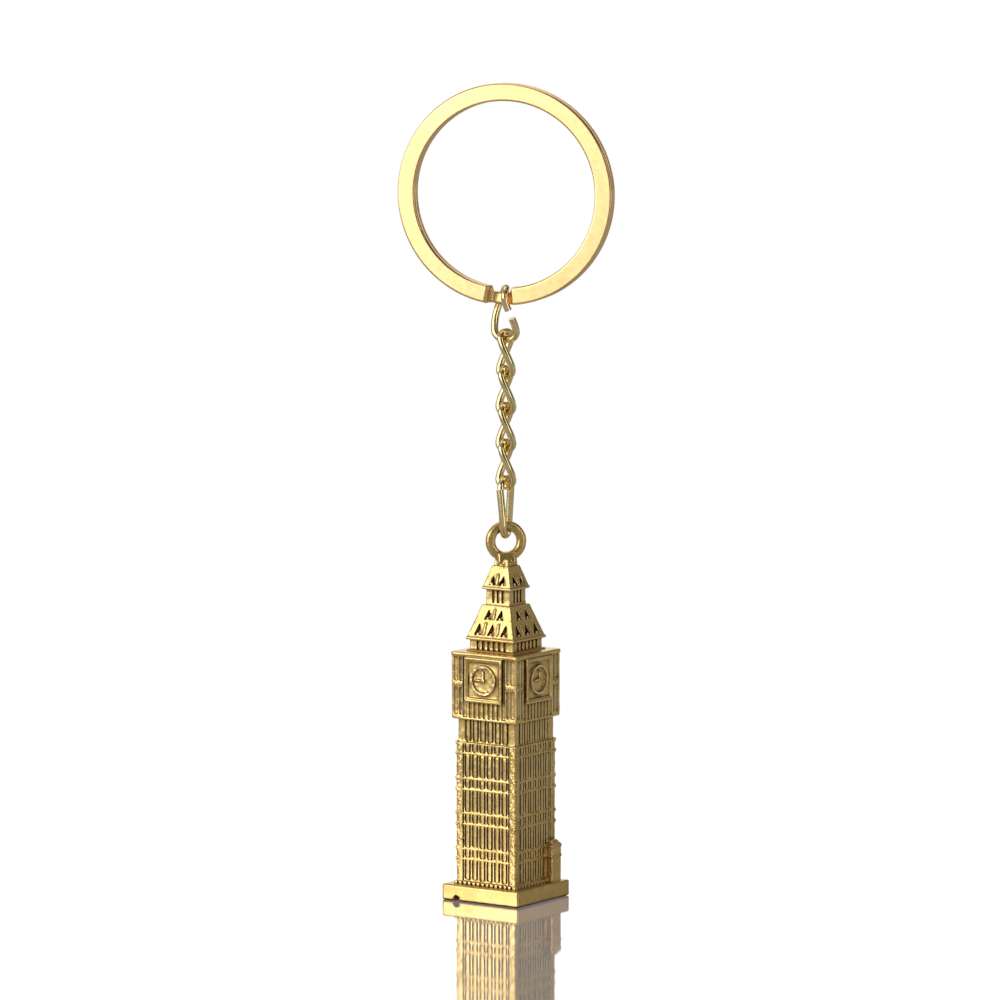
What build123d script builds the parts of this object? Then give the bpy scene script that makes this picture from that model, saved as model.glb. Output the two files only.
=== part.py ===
from build123d import *
import math
import os

# Keychain with a cast clock-tower charm: a two-turn split ring, an open twisted end link, four
# closed twisted chain links, a jump ring and the tower casting with its eye.
#
# Millimetres. The origin is the centre of the plinth's underside and +Z is up. The tower's sides
# are square to X and Y, and the chain and the ring hang straight above it.

# ---- Wire and chain ----
WIRE = 1.0  # chain wire diameter
LEG_RUNS = 3  # straight runs down a twisted leg
LEG_BEND = 3.0  # radius of the slow bends between them
SHARP_TURN = 45.0  # degrees; a corner that turns further is a link's end
PLAY = 0.05  # gap left between two wires that hang in each other
LINK_WIDTH = 2.45  # between the centres of a link's two legs
LINK_LENGTH = 6.05  # between the centres of a link's two bends
LINK_BEND = 1.1  # radius of the wire's centre line round a link's end
LINK_COUNT = 4
END_LINK_WIDTH = 3.4
END_LINK_LENGTH = 7.05
END_LINK_BEND = 1.4
END_LINK_SHIFT = 0.45  # the end link's upper half leans this far along the ring
BOW_PEAK = 6.75  # scales the lean's bow to one at its widest, two thirds of the way up
END_LINK_GAP = 1.1  # height of the gap in its open leg
JUMP_RING_WIDTH = 3.1
JUMP_RING_LENGTH = 7.7
JUMP_RING_BEND = 1.25
JUMP_RING_GAP = 0.12
JUMP_RING_MISMATCH = 0.25  # the jump ring's two ends pass each other sideways by this much
JUMP_RING_GAP_DROP = 1.3  # from its top bend's centre down to its gap

# Directions in plan, in degrees from +X, that a link's legs lie along at its top and its bottom
LINK_TURN = (-90.0, 0.0)
FIRST_LINK_TURN = (-96.0, -6.0)
END_LINK_TURN = (-55.0, 9.5)
JUMP_RING_TURN = (-82.0, -69.0)

# ---- Split ring ----
RING_DIAMETER = 30.0
STRIP_WIDTH = 2.4  # radial
STRIP_THICKNESS = 0.95
STRIP_ROUNDING = 0.25
TURN_GAP = 0.05  # air between the two turns
RING_TURN = 19.0  # the ring's plane, in degrees from +X in plan
GAP_SIDES = (-2.35, 1.2)  # where the two turns stop, along the ring from its lowest point
STEP_WIDTH = 1.6  # radial width of the joggle that joins the two turns
STEP_THICKNESS = 0.65
STEP_ROUNDING = 0.32
STEP_INSET = 0.1  # its outer edge inside the ring's
STEP_LAP = 3.0  # degrees that the joggle runs on inside each turn
STEP_SECTIONS = 9

# ---- Plinth and shaft ----
PLINTH_SIDE = 12.6
PLINTH_HEIGHT = 2.25
PLINTH_ROUNDING = 0.25
NOTCH_RADIUS = 0.5  # round notch that opens under the plinth's front edge
NOTCH_RISE = 0.3  # height of its centre
NOTCH_DEPTH = 1.3
NOTCH_X = -3.9
FOOTING_SIDE = 10.3
FOOTING_HEIGHT = 0.45
SHAFT_SIDE = 9.7
SHAFT_TOP = 25.0
UPPER_SHAFT_SIDE = 9.35
UPPER_SHAFT_BASE = 22.0
PILASTER = 1.05  # width of the shaft's corner pilasters
RIB_DEPTH = 0.4
RIB_COUNT = 6
RIB_PITCH = 1.27
RIB_WIDTH = 0.55
COURSE_LEVELS = (5.6, 7.0, 10.4, 11.9, 15.2, 16.7, 20.15, 21.6)
COURSE_SIDE = 9.95
COURSE_HEIGHT = 0.28
ANNEX = (4.6, 5.85, 2.7, 4.85, 8.1)  # low x, high x, low y, high y, top
ANNEX_BANDS = (5.6, 7.0)
ANNEX_CAP = 0.5

# ---- Clock stage ----
STAGE_SIDE = 10.6
STAGE_BASE = 25.0
STAGE_TOP = 34.2
STAGE_PILASTER = 1.85
CHANNEL_DEPTH = 0.25
CORNICE_HEIGHT = 0.45
CORNICE_OVERHANG = 0.12
FRAME_SIDE = 6.1
FRAME_BAR = 0.45
FRAME_CENTRE = 30.55
FRAME_PROUD = 0.4  # beyond the pilasters
FIELD_DEPTH = 0.25
DIAL_RADIUS = 2.06
DIAL_BAND = 0.35
HAND_LENGTH = 1.25
HAND_WIDTH = 0.24
FLUTE_COUNT = 8
FLUTE_BAND = (25.25, 27.35)
PANEL_WIDTHS = (0.4, 0.7)  # beside the channel, beside the corner
PANEL_GAP = 0.22
PANEL_ROWS = ((25.6, 29.4), (30.2, 33.6))
PANEL_DEPTH = 0.16

# ---- Belfry, roofs and lantern ----
BELFRY_SIDE = 7.05
BELFRY_TOP = 35.75
BELFRY_RIBS = 7
LOWER_EAVE_SIDE = 7.95
LOWER_EAVE_TOP = 36.15
LOWER_ROOF_FOOT = 7.6
LOWER_ROOF_HEAD = 4.65
LOWER_ROOF_TOP = 40.5
LANTERN_SIDE = 3.85
LANTERN_TOP = 42.6
LANTERN_RIBS = 4
UPPER_EAVE_SIDE = 4.8
UPPER_EAVE_TOP = 42.95
UPPER_ROOF_FOOT = 4.55
UPPER_ROOF_HEAD = 2.7
UPPER_ROOF_TOP = 45.8
NECK_TOP = 46.7
SMALL_RIB_DEPTH = 0.22
# Roof niches: foot height, height, width, pitch, count on each side
LOWER_NICHES = ((36.5, 1.7, 1.45, 2.15, 3), (38.6, 1.5, 1.35, 2.0, 2))
UPPER_NICHES = ((43.25, 1.55, 1.25, 1.75, 2),)
NICHE_DEPTH = 0.28
BALL_RADIUS = 0.26
BALL_SINK = 0.1  # its centre behind the roof's slope
BALL_SEAT = 0.18  # its centre above the niche's foot

# ---- Eye ----
EYE_RADIUS = 2.12  # of its section's centre line
EYE_SECTION = 0.72
EYE_CENTRE = 49.1
EYE_TURN = 45.0  # the eye's plane, in degrees from +X in plan
EYE_FOOT = (2.3, 1.5)  # where the eye meets its flare
EYE_FLARE_TOP = 47.5

# ---- Heights along the chain, worked out from the eye up ----
PITCH_DROP = WIRE + PLAY  # a link's bend above the bend that it hangs in
JUMP_RING_BOTTOM = EYE_CENTRE + EYE_RADIUS - EYE_SECTION - WIRE / 2 - PLAY
LINK_BOTTOMS = [
    JUMP_RING_BOTTOM + JUMP_RING_LENGTH - PITCH_DROP + i * (LINK_LENGTH - PITCH_DROP)
    for i in range(LINK_COUNT)
]  # the lowest link first
END_LINK_BOTTOM = LINK_BOTTOMS[-1] + LINK_LENGTH - PITCH_DROP
END_LINK_TOP = END_LINK_BOTTOM + END_LINK_LENGTH
# Far enough for the end link's wire to turn past the joggle's rounded corners
STEP_CORNER = math.hypot(STEP_WIDTH / 2 - STEP_ROUNDING, STEP_THICKNESS / 2 - STEP_ROUNDING)
STEP_CLEARANCE = STEP_CORNER + STEP_ROUNDING + WIRE / 2 + 3 * PLAY
STEP_RADIUS = RING_DIAMETER / 2 - STEP_INSET - STEP_WIDTH / 2
RING_CENTRE = END_LINK_TOP - STEP_CLEARANCE + STEP_RADIUS


def plan_direction(degrees):
    """Unit vector in plan."""
    return Vector(math.cos(math.radians(degrees)), math.sin(math.radians(degrees)), 0)


def save(piece, name):
    piece.part.label = name
    export_step(piece.part, f"parts/{name}.step")


# ---------------------------------------------------------------- chain


def link_legs(width, length, turn, bottom, lean=Vector(0, 0, 0)):
    """Corners down the near and the far leg of a twisted link's centre line, each from the top.

    turn holds the plan directions of the near leg at the link's top and its bottom. lean is how
    far the legs stand aside two thirds of the way up. Most of the twist is in their middle.
    """

    def corner(side, rise):
        twist = rise**2 * (3 - 2 * rise)
        aside = BOW_PEAK * rise**2 * (1 - rise)
        across = plan_direction(turn[1] + (turn[0] - turn[1]) * twist) * (side * width / 2)
        return across + lean * aside + Vector(0, 0, bottom + length * rise)

    rises = [1 - i / LEG_RUNS for i in range(LEG_RUNS + 1)]
    return [[corner(side, rise) for rise in rises] for side in (1, -1)]


def wire_run(bend, *points):
    """Sweep the chain wire along straight runs joined by arcs, in the current part.

    bend is the radius where the run turns round a link's end. Corners down a leg get a much
    slower one.
    """
    radii = []
    for before, corner, after in zip(points, points[1:], points[2:]):
        sharp = (corner - before).get_angle(after - corner) > SHARP_TURN
        radii.append(bend if sharp else LEG_BEND)
    with BuildLine() as path:
        FilletPolyline(*points, radius=radii)
    with BuildSketch(Plane(origin=points[0], z_dir=points[1] - points[0])) as section:
        Circle(WIRE / 2)
    sweep(section.sketch, path=path.line)


def make_closed_link(name, turn, bottom):
    """One closed twisted link, in two halves that meet square across its legs."""
    near, far = link_legs(LINK_WIDTH, LINK_LENGTH, turn, bottom)
    near_joint = (near[1] + near[2]) * 0.5
    far_joint = (far[1] + far[2]) * 0.5
    with BuildPart() as link:
        wire_run(LINK_BEND, far_joint, far[1], far[0], near[0], near[1], near_joint)
        wire_run(LINK_BEND, near_joint, near[2], near[3], far[3], far[2], far_joint)
    save(link, name)


def make_end_link():
    """Open twisted link, with its gap halfway down its near leg."""
    lean = plan_direction(RING_TURN) * -END_LINK_SHIFT
    near, far = link_legs(
        END_LINK_WIDTH, END_LINK_LENGTH, END_LINK_TURN, END_LINK_BOTTOM, lean
    )
    gap_middle = (near[1] + near[2]) * 0.5
    gap_half = (near[1] - near[2]).normalized() * (END_LINK_GAP / 2)
    upper_stub = (gap_middle + gap_half, near[1], near[0])
    lower_stub = (near[3], near[2], gap_middle - gap_half)
    with BuildPart() as link:
        wire_run(END_LINK_BEND, *upper_stub, *far, *lower_stub)
    save(link, "end_link")


def make_jump_ring():
    """Long jump ring whose two ends miss each other near the top of its near leg."""
    near, far = link_legs(JUMP_RING_WIDTH, JUMP_RING_LENGTH, JUMP_RING_TURN, JUMP_RING_BOTTOM)
    down = (near[1] - near[0]).normalized()
    aside = plan_direction(JUMP_RING_TURN[0] - 90) * JUMP_RING_MISMATCH
    upper_end = near[0] + down * JUMP_RING_GAP_DROP
    lower_end = near[0] + down * (JUMP_RING_GAP_DROP + JUMP_RING_GAP) + aside
    with BuildPart() as link:
        wire_run(JUMP_RING_BEND, upper_end, near[0], *far, near[3], near[2], lower_end)
    save(link, "jump_ring")


# ---------------------------------------------------------------- split ring


def ring_plane(distance_round=0.0):
    """Section plane of the ring's strip: local x outward, local y along the ring's axis."""
    along = plan_direction(RING_TURN)
    toward = Vector(math.sin(math.radians(RING_TURN)), -math.cos(math.radians(RING_TURN)), 0)
    turn = math.radians(distance_round)
    outward = along * math.sin(turn) - Vector(0, 0, math.cos(turn))
    return Plane(origin=(0, 0, RING_CENTRE), x_dir=outward, z_dir=outward.cross(toward))


def ring_degrees(distance):
    """Angle round the ring, from its lowest point, of a distance along it."""
    return math.degrees(distance / (RING_DIAMETER / 2 - STRIP_WIDTH / 2))


def ring_turn(start, offset):
    """One turn of the strip from the start angle round to the gap's other side."""
    plane = ring_plane(start)
    arc = 360 - (ring_degrees(GAP_SIDES[1]) - ring_degrees(GAP_SIDES[0]))
    with BuildSketch(plane) as section:
        with Locations((RING_DIAMETER / 2 - STRIP_WIDTH / 2, offset)):
            RectangleRounded(STRIP_WIDTH, STRIP_THICKNESS, STRIP_ROUNDING)
    spin = Axis((0, 0, RING_CENTRE), plane.y_dir)
    revolve(section.sketch, axis=spin, revolution_arc=arc)


def ring_joggle(offset):
    """The narrow step in the strip that carries it from the front turn to the rear one."""
    start = ring_degrees(GAP_SIDES[1]) + STEP_LAP
    end = ring_degrees(GAP_SIDES[0]) - STEP_LAP
    sections = []
    for i in range(STEP_SECTIONS):
        share = i / (STEP_SECTIONS - 1)
        fall = (share - 0.5) * (start - end) / (start - end - 2 * STEP_LAP)
        level = math.sin(math.pi * max(-0.5, min(0.5, fall)))
        with BuildSketch(ring_plane(start + (end - start) * share)) as section:
            with Locations((STEP_RADIUS, -offset * level)):
                RectangleRounded(STEP_WIDTH, STEP_THICKNESS, STEP_ROUNDING)
        sections.append(section.sketch)
    loft(sections)


def make_split_ring():
    offset = (STRIP_THICKNESS + TURN_GAP) / 2
    with BuildPart() as ring:
        ring_turn(ring_degrees(GAP_SIDES[1]), offset)
        ring_turn(ring_degrees(GAP_SIDES[1]), -offset)
        ring_joggle(offset)
    save(ring, "split_ring")


# ---------------------------------------------------------------- tower


def side_plane(quarter, distance, height, lean=0.0):
    """Plane on one side of the tower: local x level, local y up the side, local z outward."""
    outward = plan_direction(90 * quarter)
    tilt = math.radians(lean)
    return Plane(
        origin=outward * distance + Vector(0, 0, height),
        x_dir=(-outward.Y, outward.X, 0),
        z_dir=outward * math.cos(tilt) + Vector(0, 0, math.sin(tilt)),
    )


def slab(side, bottom, top, rounding=0.0):
    """Square slab between two heights, with rounded upright edges if asked."""
    with BuildSketch(Plane.XY.offset(bottom)) as plan:
        if rounding:
            RectangleRounded(side, side, rounding)
        else:
            Rectangle(side, side)
    extrude(plan.sketch, amount=top - bottom)


def ribbed_storey(side, bottom, top, pilaster, depth, count, pitch, width):
    """Square storey with corner pilasters and upright ribs on each side."""
    with BuildSketch(Plane.XY.offset(bottom)) as plan:
        Rectangle(side - 2 * depth, side - 2 * depth)
        with GridLocations(side - pilaster, side - pilaster, 2, 2):
            Rectangle(pilaster, pilaster)
        with PolarLocations(side / 2 - depth, 4):
            with GridLocations(0, pitch, 1, count):
                Rectangle(2 * depth, width)
    extrude(plan.sketch, amount=top - bottom)


def make_plinth():
    with BuildPart() as plinth:
        slab(PLINTH_SIDE, 0, PLINTH_HEIGHT)
        fillet(plinth.edges(), PLINTH_ROUNDING)
        with BuildSketch(Plane.XZ.offset(PLINTH_SIDE / 2 - NOTCH_DEPTH)) as notch:
            with Locations((NOTCH_X, NOTCH_RISE)):
                Circle(NOTCH_RADIUS)
        extrude(notch.sketch, amount=NOTCH_DEPTH + PLINTH_ROUNDING, mode=Mode.SUBTRACT)
    return plinth.part


def make_shaft():
    ribs = (RIB_COUNT, RIB_PITCH, RIB_WIDTH)
    with BuildPart() as shaft:
        slab(FOOTING_SIDE, PLINTH_HEIGHT, PLINTH_HEIGHT + FOOTING_HEIGHT, PLINTH_ROUNDING)
        ribbed_storey(SHAFT_SIDE, PLINTH_HEIGHT, UPPER_SHAFT_BASE, PILASTER, RIB_DEPTH, *ribs)
        ribbed_storey(UPPER_SHAFT_SIDE, UPPER_SHAFT_BASE, SHAFT_TOP, PILASTER, RIB_DEPTH, *ribs)
        for level in COURSE_LEVELS:
            slab(COURSE_SIDE, level, level + COURSE_HEIGHT, COURSE_HEIGHT)
    return shaft.part


def make_annex():
    """Small stair turret against the +X side."""
    low_x, high_x, low_y, high_y, top = ANNEX
    centre = ((low_x + high_x) / 2, (low_y + high_y) / 2)
    width, breadth = high_x - low_x, high_y - low_y
    with BuildPart() as annex:
        with BuildSketch(Plane.XY.offset(PLINTH_HEIGHT)):
            with Locations(centre):
                Rectangle(width, breadth)
        extrude(amount=top - ANNEX_CAP - PLINTH_HEIGHT)
        for level in ANNEX_BANDS:
            with BuildSketch(Plane.XY.offset(level)):
                with Locations(centre):
                    Rectangle(width + COURSE_HEIGHT, breadth + COURSE_HEIGHT)
            extrude(amount=COURSE_HEIGHT)
        with BuildSketch(Plane.XY.offset(top - ANNEX_CAP)):
            with Locations(centre):
                Rectangle(width, breadth)
        extrude(amount=ANNEX_CAP, taper=30)
    return annex.part


def make_clock_stage():
    """Square storey with panelled corner pilasters, a channel inside each, and a clock a side."""
    cornice = STAGE_SIDE + 2 * CORNICE_OVERHANG
    with BuildPart() as stage:
        with BuildSketch(Plane.XY.offset(STAGE_BASE)):
            Rectangle(STAGE_SIDE - 2 * CHANNEL_DEPTH, STAGE_SIDE - 2 * CHANNEL_DEPTH)
            with GridLocations(STAGE_SIDE - STAGE_PILASTER, STAGE_SIDE - STAGE_PILASTER, 2, 2):
                Rectangle(STAGE_PILASTER, STAGE_PILASTER)
        extrude(amount=STAGE_TOP - STAGE_BASE)
        slab(cornice, STAGE_TOP - CORNICE_HEIGHT, STAGE_TOP, CORNICE_HEIGHT)
        for quarter in range(4):
            clock_side(quarter)
            pilaster_panels(quarter)
    return stage.part


def clock_side(quarter):
    """Framed dial with raised hands, and the fluted band under it, on one side."""
    floor = STAGE_SIDE / 2 - CHANNEL_DEPTH
    proud = CHANNEL_DEPTH + FRAME_PROUD
    with BuildSketch(side_plane(quarter, floor, FRAME_CENTRE)) as backing:
        Rectangle(FRAME_SIDE, FRAME_SIDE)
    extrude(backing.sketch, amount=proud)
    opening = FRAME_SIDE - 2 * FRAME_BAR
    with BuildSketch(side_plane(quarter, floor + proud, FRAME_CENTRE)) as recess:
        Rectangle(opening, opening)
        Circle(DIAL_RADIUS, mode=Mode.SUBTRACT)
        Circle(DIAL_RADIUS - DIAL_BAND)
        with Locations((0, HAND_LENGTH / 2)):
            Rectangle(HAND_WIDTH, HAND_LENGTH, mode=Mode.SUBTRACT)
        with Locations((-HAND_LENGTH / 2, 0)):
            Rectangle(HAND_LENGTH, HAND_WIDTH, mode=Mode.SUBTRACT)
        Circle(HAND_WIDTH, mode=Mode.SUBTRACT)
    extrude(recess.sketch, amount=-FIELD_DEPTH, mode=Mode.SUBTRACT)
    low, high = FLUTE_BAND
    pitch = FRAME_SIDE / FLUTE_COUNT
    with BuildSketch(side_plane(quarter, floor, (low + high) / 2)) as flutes:
        with GridLocations(pitch, 0, FLUTE_COUNT, 1):
            Rectangle(pitch / 2, high - low)
    extrude(flutes.sketch, amount=CHANNEL_DEPTH)


def pilaster_panels(quarter):
    """Sunk panels, two columns and two rows of them, on the pilasters of one side."""
    inner = STAGE_SIDE / 2 - STAGE_PILASTER + PANEL_GAP
    columns = (
        (inner + PANEL_WIDTHS[0] / 2, PANEL_WIDTHS[0]),
        (inner + PANEL_WIDTHS[0] + PANEL_GAP + PANEL_WIDTHS[1] / 2, PANEL_WIDTHS[1]),
    )
    with BuildSketch(side_plane(quarter, STAGE_SIDE / 2, 0)) as panels:
        for low, high in PANEL_ROWS:
            for middle, width in columns:
                with Locations((-middle, (low + high) / 2), (middle, (low + high) / 2)):
                    Rectangle(width, high - low)
    extrude(panels.sketch, amount=-PANEL_DEPTH, mode=Mode.SUBTRACT)


def make_roof(foot_side, foot, head_side, head, rows):
    """Four-sided tapering roof with rows of pointed niches, each with a ball at its foot."""
    retreat = (foot_side - head_side) / 2
    lean = math.degrees(math.atan2(retreat, head - foot))
    with BuildPart() as roof:
        with BuildSketch(Plane.XY.offset(foot)):
            Rectangle(foot_side, foot_side)
        with BuildSketch(Plane.XY.offset(head)):
            Rectangle(head_side, head_side)
        loft()
        for level, height, width, pitch, count in rows:
            distance = foot_side / 2 - retreat * (level - foot) / (head - foot)
            for quarter in range(4):
                with BuildSketch(side_plane(quarter, distance, level, lean)):
                    with GridLocations(pitch, 0, count, 1):
                        with BuildLine():
                            Polyline((-width / 2, 0), (width / 2, 0), (0, height), close=True)
                        make_face()
                extrude(amount=-NICHE_DEPTH, mode=Mode.SUBTRACT)
                with Locations(side_plane(quarter, distance, level, lean).offset(-BALL_SINK)):
                    with GridLocations(pitch, 0, count, 1):
                        with Locations((0, BALL_SEAT)):
                            Sphere(BALL_RADIUS)
    return roof.part


def small_ribs(side, bottom, top, count):
    """Ribbed storey whose ribs and pilasters share one even pitch."""
    pitch = side / (count + 1)
    ribbed_storey(side, bottom, top, pitch / 2, SMALL_RIB_DEPTH, count, pitch, pitch / 2)


def make_belfry():
    with BuildPart() as belfry:
        small_ribs(BELFRY_SIDE, STAGE_TOP, BELFRY_TOP, BELFRY_RIBS)
        slab(LOWER_EAVE_SIDE, BELFRY_TOP, LOWER_EAVE_TOP, COURSE_HEIGHT)
    return belfry.part


def make_lantern():
    with BuildPart() as lantern:
        small_ribs(LANTERN_SIDE, LOWER_ROOF_TOP, LANTERN_TOP, LANTERN_RIBS)
        slab(UPPER_EAVE_SIDE, LANTERN_TOP, UPPER_EAVE_TOP, COURSE_HEIGHT)
    return lantern.part


def make_eye():
    """Round loop in the diagonal plane, flared into the neck."""
    across = plan_direction(EYE_TURN)
    loop = Plane(origin=(0, 0, EYE_CENTRE), x_dir=across, z_dir=(across.Y, -across.X, 0))
    flare_foot = UPPER_ROOF_HEAD - COURSE_HEIGHT
    with BuildPart() as eye:
        slab(UPPER_ROOF_HEAD, UPPER_ROOF_TOP, NECK_TOP, COURSE_HEIGHT)
        with BuildSketch(Plane.XY.offset(NECK_TOP - COURSE_HEIGHT)):
            with Locations(Rotation(0, 0, EYE_TURN)):
                Rectangle(flare_foot, flare_foot)
        with BuildSketch(Plane.XY.offset(EYE_FLARE_TOP)):
            with Locations(Rotation(0, 0, EYE_TURN)):
                Rectangle(*EYE_FOOT)
        loft()
        with Locations(loop):
            Torus(EYE_RADIUS, EYE_SECTION)
    return eye.part


def make_tower_casting():
    with BuildPart() as tower:
        add(make_plinth())
        add(make_shaft())
        add(make_annex())
        add(make_clock_stage())
        add(make_belfry())
        add(make_roof(LOWER_ROOF_FOOT, LOWER_EAVE_TOP, LOWER_ROOF_HEAD, LOWER_ROOF_TOP, LOWER_NICHES))
        add(make_lantern())
        add(make_roof(UPPER_ROOF_FOOT, UPPER_EAVE_TOP, UPPER_ROOF_HEAD, UPPER_ROOF_TOP, UPPER_NICHES))
        add(make_eye())
    save(tower, "tower_casting")


# ---------------------------------------------------------------- the whole keychain

os.makedirs("parts", exist_ok=True)

make_split_ring()

make_end_link()
for position in range(LINK_COUNT):
    make_closed_link(
        f"chain_link_{position + 1}",
        FIRST_LINK_TURN if position == 0 else LINK_TURN,
        LINK_BOTTOMS[LINK_COUNT - 1 - position],
    )
make_jump_ring()
make_tower_casting()
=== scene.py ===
"""Clock-tower keychain: satin split ring, polished twisted chain and a sandy gold tower casting.

Shapes are worked out in millimetres and scaled to metres when they become objects.
"""

import bmesh
import bpy
import math
import random
from mathutils import Matrix, Vector


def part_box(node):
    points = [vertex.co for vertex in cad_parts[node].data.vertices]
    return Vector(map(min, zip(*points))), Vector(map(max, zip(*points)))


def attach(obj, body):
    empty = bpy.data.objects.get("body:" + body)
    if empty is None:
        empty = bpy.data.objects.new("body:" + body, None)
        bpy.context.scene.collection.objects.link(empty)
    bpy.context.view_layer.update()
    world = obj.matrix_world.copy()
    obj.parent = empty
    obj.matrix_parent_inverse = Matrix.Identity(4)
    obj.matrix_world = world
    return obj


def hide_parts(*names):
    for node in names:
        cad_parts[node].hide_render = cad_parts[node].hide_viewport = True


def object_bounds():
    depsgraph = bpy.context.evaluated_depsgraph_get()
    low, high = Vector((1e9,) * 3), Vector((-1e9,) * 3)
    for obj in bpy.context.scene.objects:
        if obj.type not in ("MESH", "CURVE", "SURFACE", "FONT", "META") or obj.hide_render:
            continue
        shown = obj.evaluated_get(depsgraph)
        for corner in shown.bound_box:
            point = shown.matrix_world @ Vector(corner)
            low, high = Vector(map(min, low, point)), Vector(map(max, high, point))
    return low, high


MM = 0.001
UP = Vector((0, 0, 1))
FRONT = Matrix(((1, 0, 0, 0), (0, 0, -1, 0), (0, 1, 0, 0), (0, 0, 0, 1)))  # turns +Z to -Y

QUARTERS = ((1, 1), (-1, 1), (-1, -1), (1, -1))  # signs of X and Y at the four corners, in turn

# ---- Wire and chain, as in the CAD model ----
WIRE = 1.0
LINK = (2.45, 6.05, 1.1)  # width, length and bend of the centre line
END_LINK = (3.4, 7.05, 1.4)
JUMP_RING = (3.1, 7.7, 1.25)
LINK_TURN = (-90.0, 0.0)  # plan directions of the near leg at the top and the bottom
FIRST_LINK_TURN = (-96.0, -6.0)
END_LINK_TURN = (-55.0, 9.5)
JUMP_RING_TURN = (-82.0, -69.0)
END_LINK_SHIFT = 0.45  # sideways bow of its upper half
BOW_PEAK = 6.75  # scales the bow so that its greatest share is 1
END_LINK_GAP = 1.1
JUMP_RING_GAP_DROP = 1.3
JUMP_RING_GAP = 0.08
JUMP_RING_MISMATCH = 0.15
JUMP_RING_SWERVE = 1.5  # power by which its lower end swerves aside

# ---- Split ring ----
RING_TURN = 19.0
RING_RADIUS = 15.0
STRIP = (2.4, 0.95, 0.25)  # radial width, thickness, corner radius
STEP = (1.6, 0.65, 0.3)  # the same of the joggle
STEP_INSET = 0.1
STEP_SHOULDER = 2.2  # degrees over which the strip narrows to the joggle
STEP_PARTS = 40
TURN_OFFSET = 0.5
TURN_PART = 2.0  # degrees
GAP_SIDES = (-2.35, 1.2)

# ---- Tower ----
LAP = 0.1  # how deep a part is sunk into the next one, so that the two melt together
STOREY_LAP = 0.4
ROOT = 0.3  # how deep relief reaches into its storey
PLINTH_HALF = 6.3
PLINTH_TOP = 2.25
PLINTH_ROUNDING = 0.3
NOTCH = (-3.9, 0.34, 0.5, 1.3)  # place along the edge, height of the centre, radius, depth
FOOTING_HALF = 5.15
FOOTING_TOP = 2.7
TOOTH_DEPTH = 0.3
TOOTH_SHARE = 0.34  # half a tooth's width over its pitch
SHAFT_HALF = 4.85
UPPER_SHAFT_HALF = 4.675
SHAFT_TOP = 25.0
PILASTER = 1.05
GROOVE = 0.5
BAY_COUNT = 6
BAY_PITCH = 1.215
BAY_RIB = 0.25
BAY_DEPTH = 0.3
BAY_ROUNDING = (0.46, 0.1)  # at its foot and its head
RIB_SINK = 0.07
TONGUE = 0.55
TONGUE_SINK = 0.04
TONGUE_RISE = 0.16
COURSES = (5.6, 7.0, 10.4, 11.9, 15.2, 16.7, 20.15, 21.6)
COURSE_HALF = 4.84
COURSE_HEIGHT = 0.17
COURSE_SHADOW = 0.12  # dark line under each course
COURSE_BALL = (0.3, 0.1)  # radius and inset of the bead on its corners
KNOB_SEED = 11
KNOB_SIZES = (0.2, 0.32)
KNOB_STEPS = (0.28, 0.62)
KNOB_STRAY = 0.28
ANNEX = (4.6, 5.85, 2.7, 4.85, 8.1)  # X from and to, Y from and to, top
ANNEX_BANDS = (5.6, 7.0)
ANNEX_BAND = (0.36, 0.13, 0.17)  # height, how far it stands proud, rounding
ANNEX_DOME = (1.5, 0.72)  # height and rounding

STAGE_HALF = 5.3
STAGE_TOP = 34.2
STAGE_PILASTER = 1.85
CHANNEL = 0.25
PANEL_SINK = 0.24
PANEL_COLUMNS = ((3.67, 4.07), (4.29, 4.99))
PANEL_ROWS = ((25.6, 29.4), (30.2, 33.6))
PANEL_ROUNDING = 0.48  # share of a panel's width
PANEL_KNOB = (29.8, 0.26)  # height and radius
FRAME_HALF = 3.05
FRAME_CENTRE = 30.55
FRAME_FACE = 5.66
FRAME_STEPS = ((0.0, 0.34, 0.0), (0.2, 0.58, 0.13))  # insets of its edge and opening, and its sink
FIELD_FACE = 5.28
DIAL = (1.71, 2.06)  # radii of its rim
DIAL_LINE = 0.12
PROUD = 0.02
TICK = (12, 0.2, 0.13)  # count, inset from the rim, radius
HAND = (1.25, 0.26)  # length and width
HUB = 0.3
FLUTES = (8, 25.25, 27.35)  # count, bottom, top
RIB_SHARE = 0.27  # half a rib's width over its pitch

BELFRY = (3.525, 34.2, 35.75, 7)  # half side, bottom, top, ribs
LANTERN = (1.925, 40.5, 42.6, 4)
STAGE_BANDS = (  # half side, bottom, top, rounding
    (STAGE_HALF + 0.02, SHAFT_TOP - 0.02, SHAFT_TOP + 0.3, 0.12),
    (STAGE_HALF + 0.12, STAGE_TOP - 0.58, STAGE_TOP, 0.2),
    (BELFRY[0] + 0.35, STAGE_TOP - 0.1, STAGE_TOP + 0.22, 0.08),
)
LOWER_ROOF = (3.8, 36.15, 2.325, 40.5)  # half side at the foot, foot, half side at the head, head
UPPER_ROOF = (2.275, 42.95, 1.35, 45.8)
LOWER_EAVE = (3.975, 35.75, 36.15)
UPPER_EAVE = (2.4, 42.6, 42.95)
EAVE_ROUNDING = 0.14
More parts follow.
